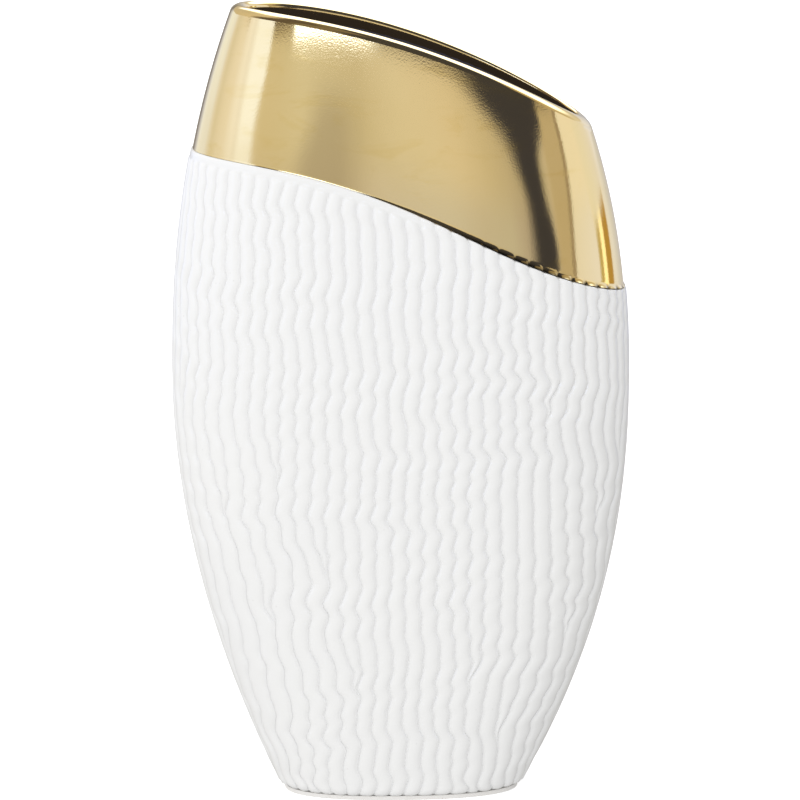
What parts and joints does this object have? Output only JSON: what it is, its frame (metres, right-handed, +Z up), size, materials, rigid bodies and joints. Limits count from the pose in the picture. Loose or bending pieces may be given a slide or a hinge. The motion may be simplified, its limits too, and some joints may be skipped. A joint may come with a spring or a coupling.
{
  "type": "vase",
  "caption": "Tall flattened oval porcelain vase with a slanted slot mouth, a smooth gilded collar and a white body carved with wavy vertical ribs.",
  "frame": {"origin": "centre of the underside, on the surface that the vase stands on", "axes": "+Z up; +X towards the low end of the slanted mouth; -Y is the front"},
  "size_m": [0.212, 0.097, 0.37],
  "materials": {
    "bare_clay": "unglazed, matt",
    "white_glaze": "glossy white glaze over carved ribs",
    "gold_lustre": "fired gold lustre over glaze, mirror bright with fine orange peel",
    "black_glaze": "glossy black glaze"
  },
  "bodies": {
    "root": {"foot_ring": "bare_clay", "base_floor": "bare_clay", "ribbed_body": "white_glaze", "gold_collar": "gold_lustre", "mouth_lip": "gold_lustre", "inner_lip_band": "gold_lustre", "inner_glaze": "black_glaze"}
  },
  "joints": []
}
